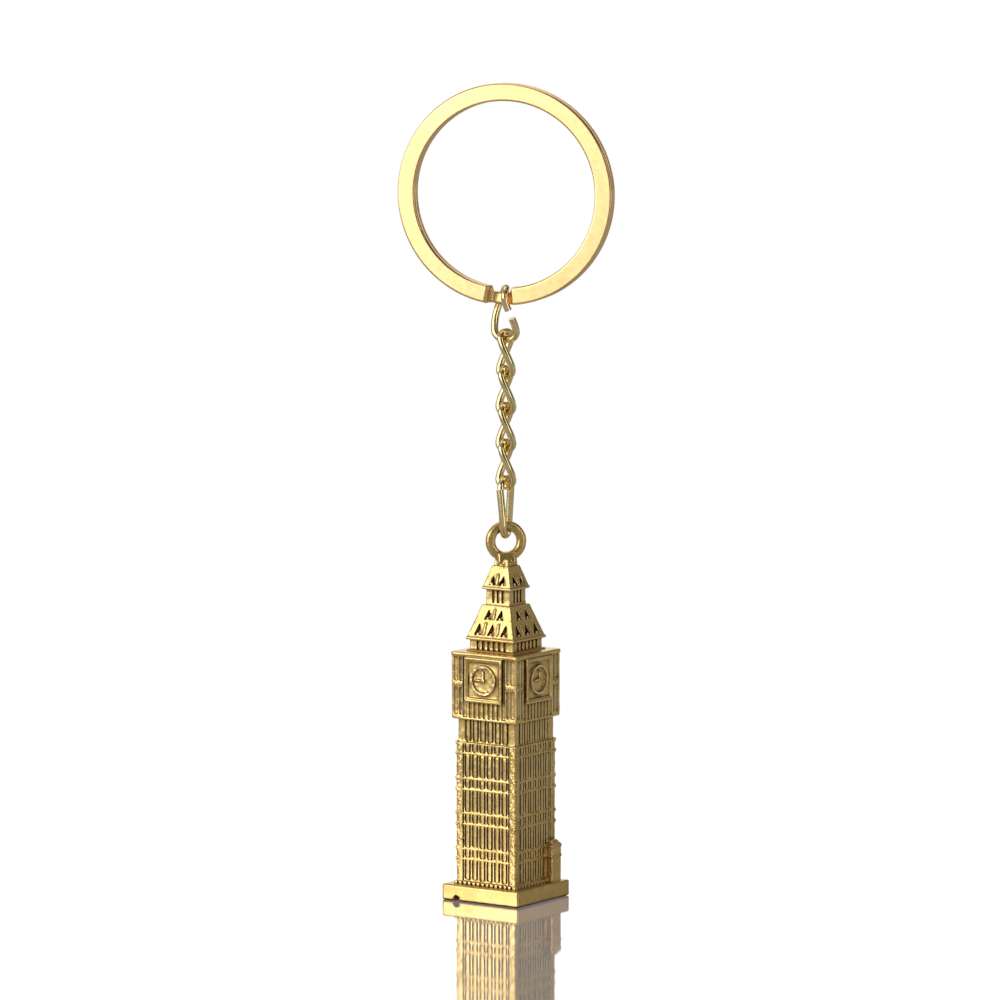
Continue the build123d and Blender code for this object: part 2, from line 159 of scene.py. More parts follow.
# Rows of niches: foot, height, width, pitch, count
LOWER_NICHES = ((36.5, 1.7, 1.25, 2.15, 3), (38.6, 1.5, 1.15, 2.0, 2))
UPPER_NICHES = ((43.25, 1.55, 1.25, 1.75, 2),)
NICHE_DEPTH = 0.8
BALL = 0.22
BALL_RISE = 0.16
BALL_SINK = 0.1
ROOF_RIDGE = 0.17
RIDGE_FACE = 0.18
RIDGE_ROUNDING = 0.12
NECK = (1.2, 45.8, 46.7)  # half side, bottom, top
NECK_TAPER = 0.92
NECK_BEAD = 0.26
FLARE_FOOT = (1.2, 1.2)
FLARE_HEAD = (1.15, 0.75)
FLARE_TOP = 47.6
EYE = (2.14, 0.7, 49.1)  # radius, section radius, height of its centre
EYE_TURN = 45.0
EYE_PARTS = (64, 24)  # round the eye and round its section
EYE_SQUARENESS = 0.06

# ---- Cast skin ----
VOXEL = 0.07
SKIN_SMOOTHING = 2
UNEVENNESS = (("wave", 1.1, 0.07), ("ripple", 0.5, 0.03))  # name, size, strength
FACE_LIMIT = 190000

# ---- Metals: colours, roughness from the smoothest to the dullest, and scales of their noise ----
WIRE_TONES = ((0.88, 0.68, 0.30), (0.96, 0.79, 0.43))
WIRE_ROUGHNESS = (0.06, 0.15)
WIRE_SCALES = (260, 900, 2600)  # of its tone, dulling and scuffs
WIRE_SCUFFS = (0.00002, 0.12)  # depth in metres and strength, as below
RING_TONES = ((0.87, 0.575, 0.25), (0.92, 0.625, 0.30))
RING_ROUGHNESS = (0.2, 0.26)
RING_SCALES = (70, 1500, 5200)  # of its tone, satin and grain
RING_GRAIN = (0.00001, 0.14)
CAST_TONES = ((0.70, 0.48, 0.16), (0.86, 0.62, 0.25))
CAST_ROUGHNESS = (0.24, 0.38)
CAST_SCALES = (380, 3800, 1100)  # of its tone, sand and pits
CAST_SAND = (0.00002, 0.3)
CAST_PITS = (0.00008, 0.5)
# Paler, smoother edges: partly polished wear, partly a painted highlight along every convex edge
EDGE_WEAR_AND_HIGHLIGHT_COLOUR = (1.0, 0.86, 0.50)
EDGE_ROUGHNESS = 0.15
EDGE_REACH = 0.0003  # metres
EDGE_RANGE = (0.55, 0.85)
# Painted shade: a dark colour laid into hollows and grooves by how closed in they are, standing in for shadow
PAINTED_HOLLOW_SHADE = (0.11, 0.045, 0.012)
PAINTED_SHADE_REACH = 0.0006
PAINTED_SHADE_RANGE = (0.46, 0.9)
AO_SAMPLES = 16

# ---- Floor, in metres ----
FLOOR_SIZE = 60
FLOOR_GLOW = 0.35  # the floor's white as the metal sees it
FLOOR_GLOSS = 0.86
FLOOR_TINT = (1, 0.93, 0.88)
FLOOR_ROUGHNESS = 0.05
GLOSS_AHEAD = 0.05  # centre of the glossy patch before the tower
GLOSS_PATCH = (0.016, 0.05)  # its half width and half length
GLOSS_FADE = (1.2, 3.0)  # where it fades, in its own half sizes

# ---- Room that the metal sees ----
ROOM_WAY = (-0.8, -0.1, 0.5)
ROOM_RANGE = (-0.5, 0.8)
ROOM_DARK = (0.04, 0.026, 0.016)
ROOM_LIGHT = (0.40, 0.40, 0.40)
WALL_LIGHT = (1.2, 1.2, 1.2)
WALL_RANGE = (0.80, 0.93)
LIGHTS = (  # name, direction in plan, distance, rise, size, radiance
    ("key_softbox", -110, 0.6, 0.1, (0.66, 0.5), 2.15),
    ("right_strip", -8, 0.55, 0.06, (0.14, 0.5), 1.9),
    ("right_fill", 52, 0.6, 0.05, (0.3, 0.5), 0.24),
    ("top_softbox", 180, 0.08, 0.6, (0.4, 0.4), 0.9),
)

# ---- Camera ----
AIM_HEIGHT = 54.7
AIM_ASIDE = 0.8
SENSOR = 36
CLIPPING = (0.05, 20)  # metres
CAMERA_TURN = 34.5
CAMERA_RISE = 6.9
CAMERA_DISTANCE = 950.0
LENS = 252.0


def plan(degrees):
    """Unit vector in plan, from +X."""
    return Vector((math.cos(math.radians(degrees)), math.sin(math.radians(degrees)), 0))


def keep(name, mesh, node, material):
    """Turn a finished mesh in millimetres into the piece that stands for a CAD node."""
    mesh.transform(Matrix.Scale(MM, 4))
    mesh.name = name
    mesh.materials.clear()
    mesh.materials.append(material)
    mesh.shade_smooth()
    piece = bpy.data.objects.new(name, mesh)
    bpy.context.scene.collection.objects.link(piece)
    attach(piece, node)
    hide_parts(node)
    return piece


# ---------------------------------------------------------------- materials


def new_material(name):
    """Node material with its nodes and links."""
    material = bpy.data.materials.new(name)
    material.use_nodes = True
    return material, material.node_tree.nodes, material.node_tree.links


def noise(nodes, links, scale, detail=4.0, roughness=0.55):
    """Noise in the object's own metres."""
    place = nodes.new("ShaderNodeTexCoord")
    texture = nodes.new("ShaderNodeTexNoise")
    texture.inputs["Scale"].default_value = scale
    texture.inputs["Detail"].default_value = detail
    texture.inputs["Roughness"].default_value = roughness
    links.new(place.outputs["Object"], texture.inputs["Vector"])
    return texture.outputs["Fac"]


def spread(nodes, links, value, low, high, start=0.3, end=0.7):
    """Map a value from start-end to low-high."""
    span = nodes.new("ShaderNodeMapRange")
    span.inputs["From Min"].default_value = start
    span.inputs["From Max"].default_value = end
    span.inputs["To Min"].default_value = low
    span.inputs["To Max"].default_value = high
    links.new(value, span.inputs["Value"])
    return span.outputs["Result"]


def blend_colours(nodes, links, value, first, second):
    """Colour between two, each a fixed colour or a socket."""
    mixer = nodes.new("ShaderNodeMix")
    mixer.data_type = "RGBA"
    links.new(value, mixer.inputs["Factor"])
    for socket, colour in zip((mixer.inputs[6], mixer.inputs[7]), (first, second)):
        if hasattr(colour, "is_linked"):
            links.new(colour, socket)
        else:
            socket.default_value = (*colour, 1)
    return mixer.outputs[2]


def bump(nodes, links, height, distance, strength=1.0, below=None):
    """Normal from a height, over another normal if one is given."""
    node = nodes.new("ShaderNodeBump")
    node.inputs["Distance"].default_value = distance
    node.inputs["Strength"].default_value = strength
    links.new(height, node.inputs["Height"])
    if below is not None:
        links.new(below, node.inputs["Normal"])
    return node.outputs["Normal"]


def wire_metal():
    """Polished gold plate on drawn wire, with faint dulling and scuffs."""
    material, nodes, links = new_material("polished_gold_wire")
    shader = nodes["Principled BSDF"]
    shader.inputs["Metallic"].default_value = 1.0
    tone_scale, dull_scale, scuff_scale = WIRE_SCALES
    tone = spread(nodes, links, noise(nodes, links, tone_scale), 0, 1)
    links.new(blend_colours(nodes, links, tone, *WIRE_TONES), shader.inputs["Base Color"])
    dull = spread(nodes, links, noise(nodes, links, dull_scale), *WIRE_ROUGHNESS)
    links.new(dull, shader.inputs["Roughness"])
    scuffs = noise(nodes, links, scuff_scale, 6.0)
    links.new(bump(nodes, links, scuffs, *WIRE_SCUFFS), shader.inputs["Normal"])
    return material


def ring_metal():
    """Satin gold plate on flat spring strip."""
    material, nodes, links = new_material("satin_gold_strip")
    shader = nodes["Principled BSDF"]
    shader.inputs["Metallic"].default_value = 1.0
    tone_scale, satin_scale, grain_scale = RING_SCALES
    tone = spread(nodes, links, noise(nodes, links, tone_scale), 0, 1)
    links.new(blend_colours(nodes, links, tone, *RING_TONES), shader.inputs["Base Color"])
    satin = spread(nodes, links, noise(nodes, links, satin_scale), *RING_ROUGHNESS)
    links.new(satin, shader.inputs["Roughness"])
    grain = noise(nodes, links, grain_scale, 3.0)
    links.new(bump(nodes, links, grain, *RING_GRAIN), shader.inputs["Normal"])
    return material


def closeness(nodes, reach, inside):
    """How open a point's surroundings are: low in hollows, or with inside set, low along edges."""
    shade = nodes.new("ShaderNodeAmbientOcclusion")
    shade.inputs["Distance"].default_value = reach
    shade.inside = inside
    shade.samples = AO_SAMPLES
    return shade.outputs["AO"]


def cast_metal():
    """Sandy cast zinc under satin gold plate, with painted shade darkening its hollows, and paler, smoother
    edges that are partly polished wear and partly painted highlight.
    """
    material, nodes, links = new_material("cast_gold")
    shader = nodes["Principled BSDF"]
    shader.inputs["Metallic"].default_value = 1.0
    # Painted shade: ambient occlusion darkens hollows and grooves towards a fixed dark colour
    unshaded_share = spread(nodes, links, closeness(nodes, PAINTED_SHADE_REACH, False), 0, 1, *PAINTED_SHADE_RANGE)
    # Painted highlight, partly polished wear: convex edges found by inside occlusion get a paler colour and
    # lower roughness
    flat = spread(nodes, links, closeness(nodes, EDGE_REACH, True), 0, 1, *EDGE_RANGE)
    tone_scale, sand_scale, pit_scale = CAST_SCALES
    tone = spread(nodes, links, noise(nodes, links, tone_scale), 0, 1)
    plating = blend_colours(nodes, links, tone, *CAST_TONES)
    # The paler edge colour, partly painted highlight, is laid over the plating here
    plating = blend_colours(nodes, links, flat, EDGE_WEAR_AND_HIGHLIGHT_COLOUR, plating)
    # The painted shade of the hollows is mixed in here
    colour = blend_colours(nodes, links, unshaded_share, PAINTED_HOLLOW_SHADE, plating)
    links.new(colour, shader.inputs["Base Color"])
    sand = noise(nodes, links, sand_scale, 5.0, 0.65)
    satin = nodes.new("ShaderNodeMix")
    links.new(flat, satin.inputs["Factor"])
    satin.inputs["A"].default_value = EDGE_ROUGHNESS
    links.new(spread(nodes, links, sand, *CAST_ROUGHNESS), satin.inputs["B"])
    links.new(satin.outputs["Result"], shader.inputs["Roughness"])
    pits = bump(nodes, links, noise(nodes, links, pit_scale, 2.0), *CAST_PITS)
    links.new(bump(nodes, links, sand, *CAST_SAND, pits), shader.inputs["Normal"])
    return material


# ---------------------------------------------------------------- chain


def link_point(distance, width, length, bend):
    """Point (across, up) at a distance round a link, from the middle of its near leg and down."""
    leg, run, arc = length - 2 * bend, width - 2 * bend, bend * math.pi / 2
    distance %= 2 * leg + 2 * run + 4 * arc
    across, up, heading = width / 2, length / 2, -math.pi / 2
    for piece in (leg / 2, arc, run, arc, leg, arc, run, arc, leg / 2):
        step = min(distance, piece)
        if piece == arc:
            centre = (across + bend * math.sin(heading), up - bend * math.cos(heading))
            heading -= step / bend
            across = centre[0] - bend * math.sin(heading)
            up = centre[1] + bend * math.cos(heading)
        else:
            across += step * math.cos(heading)
            up += step * math.sin(heading)
        distance -= step
    return across, up


def link_perimeter(width, length, bend):
    """Length of a link's centre line."""
    return 2 * (length + width) - 8 * bend + 2 * math.pi * bend


def link_path(sizes, turn, bottom, start, end, lean=Vector((0, 0, 0)), steps=160):
    """Twisted centre line of a link between two distances round it."""
    path = []
    for i in range(steps + 1):
        across, up = link_point(start + (end - start) * i / steps, *sizes)
        rise = up / sizes[1]
        share = rise**2 * (3 - 2 * rise)
        direction = plan(turn[1] + (turn[0] - turn[1]) * share)
        aside = lean * BOW_PEAK * rise**2 * (1 - rise)
        path.append(direction * across + aside + UP * (bottom + up))
    return path


def wire_mesh(path, closed):
    """Round wire along a path, with flat cut ends if it is open."""
    curve = bpy.data.curves.new("wire", "CURVE")
    curve.dimensions = "3D"
    curve.bevel_depth = WIRE / 2
    curve.bevel_resolution = 8
    curve.use_fill_caps = True
    if closed:
        path = path[:-1]
    spline = curve.splines.new("POLY")
    spline.points.add(len(path) - 1)
    for point, place in zip(spline.points, path):
        point.co = (*place, 1)
    spline.use_cyclic_u = closed
    holder = bpy.data.objects.new("wire", curve)
    mesh = bpy.data.meshes.new_from_object(holder)
    bpy.data.objects.remove(holder)
    return mesh


def bend_height(node):
    """Height of the centre line of a wire's lowest bend, from its CAD node."""
    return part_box(node)[0].z / MM + WIRE / 2


def make_closed_link(node, turn, material):
    """Twisted chain link with its ends joined."""
    path = link_path(LINK, turn, bend_height(node), 0, link_perimeter(*LINK))
    keep("twisted_" + node, wire_mesh(path, True), node, material)


def make_end_link(material):
    """Larger twisted link with a gap in one leg, bowed aside in its upper half."""
    lean = plan(RING_TURN) * -END_LINK_SHIFT
    start, end = END_LINK_GAP / 2, link_perimeter(*END_LINK) - END_LINK_GAP / 2
    path = link_path(END_LINK, END_LINK_TURN, bend_height("end_link"), start, end, lean)
    keep("open_end_link", wire_mesh(path, False), "end_link", material)


def make_jump_ring(material):
    """Long open ring: its lower end passes the upper one sideways."""
    bottom, length = bend_height("jump_ring"), JUMP_RING[1]
    upper_end = length - JUMP_RING_GAP_DROP
    lower_end = upper_end - JUMP_RING_GAP
    start = length / 2 - lower_end
    end = link_perimeter(*JUMP_RING) + length / 2 - upper_end
    path = link_path(JUMP_RING, JUMP_RING_TURN, bottom, start, end)
    aside = plan(JUMP_RING_TURN[0] - 90) * JUMP_RING_MISMATCH
    low = bottom + length / 3
    for i, place in enumerate(path[: len(path) // 4]):
        share = max(0.0, (place.z - low) / (bottom + lower_end - low))
        path[i] = place + aside * share**JUMP_RING_SWERVE
    keep("long_jump_ring", wire_mesh(path, False), "jump_ring", material)


# ---------------------------------------------------------------- split ring


def rounded_section(width, thickness, corner, steps=5):
    """Rounded rectangle as (radial, axial) points, with a support point beside each corner."""
    section = []
    support = corner * 0.4
    half_width, half_thickness = width / 2 - corner, thickness / 2 - corner
    for quarter in range(4):
        start = math.radians(90 * quarter)
        signs = QUARTERS[quarter]
        centre = Vector((half_width * signs[0], half_thickness * signs[1]))
        before = Vector((math.sin(start), -math.cos(start))) * support
        after = Vector((-math.cos(start), -math.sin(start))) * support
        first = centre + Vector((math.cos(start), math.sin(start))) * corner
        last = centre + Vector((-math.sin(start), math.cos(start))) * corner
        section.append(first + before)
        for i in range(steps + 1):
            angle = start + math.pi / 2 * i / steps
            section.append(centre + Vector((math.cos(angle), math.sin(angle))) * corner)
        section.append(last + after)
    return section


def ease(value):
    """Smooth step from 0 to 1."""
    value = max(0.0, min(1.0, value))
    return value * value * (3 - 2 * value)


def make_split_ring(material):
    """One strip from the front turn's free end, over the top, through the joggle to the rear turn."""
    centre_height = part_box("split_ring")[1].z / MM - RING_RADIUS
    along, toward = plan(RING_TURN), plan(RING_TURN - 90)
    first, last = (math.degrees(side / (RING_RADIUS - STRIP[0] / 2)) for side in GAP_SIDES)
    gap = last - first
    whole, joggle = 720 - gap, 360 - gap
    stops = [i * TURN_PART for i in range(int(whole / TURN_PART))] + [whole]
    stops += [joggle + gap * i / STEP_PARTS for i in range(STEP_PARTS + 1)]
    broad, narrow = rounded_section(*STRIP), rounded_section(*STEP)
    broad_radius = RING_RADIUS - STRIP[0] / 2
    narrow_radius = RING_RADIUS - STEP_INSET - STEP[0] / 2
    mesh = bmesh.new()
    rings = []
    for turned in sorted(set(stops)):
        share = ease((turned - joggle) / gap)
        level = TURN_OFFSET * (1 - 2 * share)
        inside = min(turned - joggle, 360 - turned)
        slim = ease(inside / STEP_SHOULDER)
        radius = broad_radius + (narrow_radius - broad_radius) * slim
        angle = math.radians(first - turned)
        outward = along * math.sin(angle) - UP * math.cos(angle)
        ring = []
        for wide_point, slim_point in zip(broad, narrow):
            across, axial = wide_point.lerp(slim_point, slim)
            place = outward * (radius + across) + toward * (level + axial)
            ring.append(mesh.verts.new(place + UP * centre_height))
        rings.append(ring)
    for ring, following in zip(rings, rings[1:]):
        for i in range(len(ring)):
            j = (i + 1) % len(ring)
            mesh.faces.new((ring[i], ring[j], following[j], following[i]))
    mesh.faces.new(rings[0])
    mesh.faces.new(list(reversed(rings[-1])))
    bmesh.ops.recalc_face_normals(mesh, faces=mesh.faces)
    data = bpy.data.meshes.new("strip")
    mesh.to_mesh(data)
    mesh.free()
    keep("two_turn_strip", data, "split_ring", material)


# ---------------------------------------------------------------- tower


def frustum_corners(foot, head, bottom, top):
    """Corners of a block about the tower's axis, from its half sides at the bottom and the top."""
    corners = []
    for half, level in ((foot, bottom), (head, top)):
        for x, y in QUARTERS:
            corners.append(Vector((x * half[0], y * half[1], level)))
    return corners


def block(into, half, bottom, top, head_half=None, soften=0.0):
    """Square block or frustum about the tower's axis."""
    head_half = half if head_half is None else head_half
    solid(into, frustum_corners((half, half), (head_half, head_half), bottom, top), soften)


def box(into, low, high, soften=0.0):
    """Upright block between two opposite corners."""
    corners = []
    for z in (low[2], high[2]):
        for x, y in ((high[0], high[1]), (low[0], high[1]), (low[0], low[1]), (high[0], low[1])):
            corners.append(Vector((x, y, z)))
    solid(into, corners, soften)


def solid(into, corners, soften):
    """Closed six-sided solid from four lower and four upper corners."""
    piece = bmesh.new()
    verts = [piece.verts.new(corner) for corner in corners]
    for face in ((3, 2, 1, 0), (4, 5, 6, 7), (0, 1, 5, 4), (1, 2, 6, 5), (2, 3, 7, 6), (3, 0, 4, 7)):
        piece.faces.new([verts[i] for i in face])
    if soften:
        edges = list(piece.edges)
        bmesh.ops.bevel(piece, geom=edges, offset=soften, segments=3, profile=0.5, affect="EDGES")
    join(into, piece, Matrix.Identity(4))


def corner_posts(into, half, post, bottom, top, soften):
    """Square posts at a storey's four corners, flush with its sides. post is half a post's width."""
    for x, y in QUARTERS:
        centre = Vector((x, y, 0)) * (half - post)
        box(into, centre + Vector((-post, -post, bottom)), centre + Vector((post, post, top)), soften)


def spaced(count, pitch):
    """Places of a number of things at an even pitch, about zero."""
    return [(i - (count - 1) / 2) * pitch for i in range(count)]


def join(into, piece, place):
    """Add a piece at its place, and free it."""
    data = bpy.data.meshes.new("piece")
    piece.to_mesh(data)
    piece.free()
    data.transform(place)
    into.from_mesh(data)
    bpy.data.meshes.remove(data)


def ball(into, place, radius):
    """Small round bead."""
    piece = bmesh.new()
    bmesh.ops.create_icosphere(piece, subdivisions=2, radius=radius)
    join(into, piece, Matrix.Translation(place))


def rectangle(u0, u1, v0, v1, low=0.0, high=0.0, steps=5):
    """Outline of a rectangle with its lower and upper corners rounded if asked."""
    corners = ((u0, v0, low, 180), (u1, v0, low, 270), (u1, v1, high, 0), (u0, v1, high, 90))
    points = []
    for u, v, radius, start in corners:
        if not radius:
            points.append((u, v))
            continue
        toward_middle = (math.copysign(radius, (u0 + u1) / 2 - u), math.copysign(radius, (v0 + v1) / 2 - v))
        centre = (u + toward_middle[0], v + toward_middle[1])
        for i in range(steps + 1):
            angle = math.radians(start + 90 * i / steps)
            points.append((centre[0] + radius * math.cos(angle), centre[1] + radius * math.sin(angle)))
    return points


def circle(u, v, radius, steps=48):
    """Outline of a circle."""
    angles = [2 * math.pi * i / steps for i in range(steps)]
    return [(u + radius * math.cos(angle), v + radius * math.sin(angle)) for angle in angles]


def plate(into, outlines, low, high, place=Matrix.Identity(4)):
    """Flat plate with holes between two distances from its plane: the first outline is its edge."""
    curve = bpy.data.curves.new("plate", "CURVE")
    curve.dimensions = "2D"
    curve.fill_mode = "BOTH"
    curve.extrude = (high - low) / 2
    for outline in outlines:
        spline = curve.splines.new("POLY")
        spline.points.add(len(outline) - 1)
        for point, (u, v) in zip(spline.points, outline):
            point.co = (u, v, 0, 1)
        spline.use_cyclic_u = True
    holder = bpy.data.objects.new("plate", curve)
    data = bpy.data.meshes.new_from_object(holder)
    data.transform(place @ Matrix.Translation((0, 0, (low + high) / 2)))
    into.from_mesh(data)
    bpy.data.objects.remove(holder)
    bpy.data.meshes.remove(data)


def on_four_sides(into, side):
    """Copy relief that was made for a side to all four, and free it.

    Relief is made with u to the right, v up and w outward, for a side whose outward way is -Y.
    """
    data = bpy.data.meshes.new("side")
    side.to_mesh(data)
    side.free()
    data.transform(FRONT)
    for _ in range(4):
        into.from_mesh(data)
        data.transform(Matrix.Rotation(math.pi / 2, 4, "Z"))
    bpy.data.meshes.remove(data)


def cut(body, cutter):
    """The body with the cutter's space taken out of it. Both are freed."""
    pieces = []
    for part in (body, cutter):
        data = bpy.data.meshes.new("part")
        part.to_mesh(data)
        part.free()
        pieces.append(bpy.data.objects.new("part", data))
        bpy.context.scene.collection.objects.link(pieces[-1])
    taken = pieces[0].modifiers.new("taken", "BOOLEAN")
    taken.operation = "DIFFERENCE"
    taken.object = pieces[1]
    rest = bmesh.new()
    rest.from_mesh(applied(pieces[0]))
    for piece in pieces:
        bpy.data.objects.remove(piece)
    return rest


def make_plinth(tower):
    """Square plinth with a round notch that opens under its front edge, and a low toothed footing."""
    place, rise, radius, depth = NOTCH
    slab, hole = bmesh.new(), bmesh.new()
    block(slab, PLINTH_HALF, 0, PLINTH_TOP, soften=PLINTH_ROUNDING)
    plate(hole, [circle(place, rise, radius)], PLINTH_HALF - depth, PLINTH_HALF + 1, FRONT)
    join(tower, cut(slab, hole), Matrix.Identity(4))
    block(tower, FOOTING_HALF - TOOTH_DEPTH, PLINTH_TOP - ROOT, FOOTING_TOP, soften=0.1)
    side = bmesh.new()
    count = 2 * BAY_COUNT + 2
    pitch = 2 * FOOTING_HALF / count
    reach = pitch * TOOTH_SHARE
    for middle in spaced(count, pitch):
        tooth = rectangle(middle - reach, middle + reach, PLINTH_TOP - 0.2, FOOTING_TOP - 0.05)
        plate(side, [tooth], FOOTING_HALF - 0.6, FOOTING_HALF)
    on_four_sides(tower, side)


def shaft_side(half, bottom, top, levels):
    """Relief of one side of a shaft storey group: thin ribs round U-shaped panels with a tongue."""
    side = bmesh.new()
    back = half - GROOVE - ROOT
    span = BAY_COUNT * BAY_PITCH / 2
    reach = (BAY_PITCH - BAY_RIB) / 2
    wide = TONGUE / 2
    floors = [bottom] + [level + COURSE_HEIGHT for level in levels]
    ceilings = list(levels) + [top]
    plate(side, [rectangle(-span, span, bottom, top)], back, half - BAY_DEPTH)
    for low, high in zip(floors, ceilings):
        outlines = [rectangle(-span, span, low - LAP, high + LAP)]
        foot, head = low + TONGUE_RISE, high - COURSE_SHADOW
        for middle in spaced(BAY_COUNT, BAY_PITCH):
            outlines.append(rectangle(middle - reach, middle + reach, low + 0.04, high - 0.02, *BAY_ROUNDING))
            tongue = rectangle(middle - wide, middle + wide, foot, head, TONGUE * 0.45)
            plate(side, [tongue], back, half - TONGUE_SINK)
        plate(side, outlines, back, half - RIB_SINK)
    return side


def make_shaft(tower):
    """Two ribbed storey groups with corner pilasters, and the string courses round them."""
    for half, bottom, top, levels in (
        (SHAFT_HALF, FOOTING_TOP, COURSES[-1], COURSES[:-1]),
        (UPPER_SHAFT_HALF, COURSES[-1] + COURSE_HEIGHT, SHAFT_TOP, ()),
    ):
        block(tower, half - GROOVE, bottom - STOREY_LAP, top + STOREY_LAP)
        on_four_sides(tower, shaft_side(half, bottom, top, levels))
        corner_posts(tower, half, PILASTER / 2, bottom - STOREY_LAP, top + LAP, 0.12)
    radius, inset = COURSE_BALL
    for level in COURSES:
        block(tower, COURSE_HALF, level, level + COURSE_HEIGHT, soften=0.1)
        for x, y in QUARTERS:
            corner = Vector((x, y, 0)) * (COURSE_HALF - inset)
            ball(tower, corner + UP * (level + COURSE_HEIGHT / 2), radius)


def make_pilaster_knobs(tower):
    """Worn beading on the shaft's corner pilasters: small uneven bumps."""
    chance = random.Random(KNOB_SEED)
    side = bmesh.new()
    middle = SHAFT_HALF - PILASTER / 2
    for edge in (-1, 1):
        height = FOOTING_TOP + 0.4
        while height < COURSES[-1]:
            size = chance.uniform(*KNOB_SIZES)
            across = edge * middle + chance.uniform(-KNOB_STRAY, KNOB_STRAY)
            ball(side, Vector((across, height, SHAFT_HALF - size * 0.55)), size)
            height += chance.uniform(*KNOB_STEPS)
    on_four_sides(tower, side)


def make_annex(tower):
    """Small domed turret with two bands, against one side of the shaft."""
    x0, x1, y0, y1, top = ANNEX
    height, proud, rounding = ANNEX_BAND
    dome, dome_rounding = ANNEX_DOME
    box(tower, (x0, y0, PLINTH_TOP - 0.2), (x1, y1, top - 0.5), 0.1)
    for level in ANNEX_BANDS:
        box(tower, (x0, y0 - proud, level), (x1 + proud, y1 + proud, level + height), rounding)
    box(tower, (x0 - 0.8, y0 + 0.05, top - dome), (x1 + 0.02, y1 + 0.02, top), dome_rounding)


def stage_pilasters():
    """Two columns of round-ended sunk panels on each corner of a clock side, and a knob between."""
    side = bmesh.new()
    inner = STAGE_HALF - STAGE_PILASTER
    level, radius = PANEL_KNOB
    for mirror in (-1, 1):
        edge = sorted((mirror * inner, mirror * STAGE_HALF))
        outlines = [rectangle(*edge, SHAFT_TOP, STAGE_TOP, 0.3, 0.3)]
        for low, high in PANEL_COLUMNS:
            across = sorted((mirror * low, mirror * high))
            rounding = (high - low) * PANEL_ROUNDING
            outlines += [rectangle(*across, *row, rounding, rounding) for row in PANEL_ROWS]
        plate(side, outlines, STAGE_HALF - PANEL_SINK - 0.1, STAGE_HALF)
        for low, high in PANEL_COLUMNS:
            across = mirror * (low + high) / 2
            ball(side, Vector((across, level, STAGE_HALF - 0.08)), radius)
    return side


def frame_square(inset):
    """Outline of the clock frame's square, inset from its edge."""
    reach = FRAME_HALF - inset
    return rectangle(-reach, reach, FRAME_CENTRE - reach, FRAME_CENTRE + reach)


def clock_side():
    """Stepped square frame, a double-lined dial with ticks and two plain hands, and flutes under it."""
    side = bmesh.new()
    floor = STAGE_HALF - CHANNEL - 0.2
    for edge, opening, sink in FRAME_STEPS:
        plate(side, [frame_square(edge), frame_square(opening)], floor, FRAME_FACE - sink)
    plate(side, [frame_square(0.1)], floor, FIELD_FACE)
    inner, rim = DIAL
    for low, high, face in (
        (inner, rim, FRAME_FACE - DIAL_LINE),
        (inner, inner + DIAL_LINE, FRAME_FACE + PROUD),
        (rim - DIAL_LINE, rim, FRAME_FACE + PROUD),
    ):
        rings = [circle(0, FRAME_CENTRE, high), circle(0, FRAME_CENTRE, low)]
        plate(side, rings, floor, face)
    count, inset, radius = TICK
    for tick in range(count):
        angle = math.radians(360 / count * tick)
        centre = Vector((math.cos(angle), math.sin(angle))) * (inner - inset)
        ball(side, Vector((centre.x, FRAME_CENTRE + centre.y, FIELD_FACE - PROUD)), radius)
    length, width = HAND
    half = width / 2
    hands = [
        (-length, -half),
        (half, -half),
        (half, length),
        (-half, length),
        (-half, half),
        (-length, half),
    ]
    plate(side, [[(u, v + FRAME_CENTRE) for u, v in hands]], floor, FRAME_FACE - PROUD)
    plate(side, [circle(0, FRAME_CENTRE, HUB, 20)], floor, FRAME_FACE + PROUD)
    count, low, high = FLUTES
    pitch = 2 * FRAME_HALF / count
    reach = pitch * RIB_SHARE
    for middle in spaced(count, pitch):
        flute = rectangle(middle - reach, middle + reach, low, high + 0.3, reach * 0.8)
        plate(side, [flute], floor, STAGE_HALF - PROUD)
    return side


def make_clock_stage(tower):
    """Wider storey with a clock on each side, panelled corners and a band under and over it."""
    block(tower, STAGE_HALF - CHANNEL, SHAFT_TOP, STAGE_TOP, soften=0.15)
    post = (STAGE_PILASTER - PANEL_SINK) / 2
    corner_posts(tower, STAGE_HALF - PANEL_SINK, post, SHAFT_TOP + 0.05, STAGE_TOP, 0.15)
    on_four_sides(tower, stage_pilasters())
    on_four_sides(tower, clock_side())
    for half, bottom, top, rounding in STAGE_BANDS:
        block(tower, half, bottom, top, soften=rounding)


def ribbed_storey(tower, half, bottom, top, count):
    """Small storey with upright ribs and corner pilasters at one even pitch."""
    pitch = 2 * half / (count + 1)
    block(tower, half - ROOT, bottom - 0.2, top + 0.2)
    side = bmesh.new()
    reach = pitch * RIB_SHARE
    for middle in spaced(count + 2, pitch):
        low, high = max(-half, middle - reach), min(half, middle + reach)
        plate(side, [rectangle(low, high, bottom - LAP, top + LAP)], half - 0.5, half)
    plate(side, [rectangle(-half, half, bottom - LAP, bottom + 0.3)], half - 0.5, half + 0.05)
    on_four_sides(tower, side)


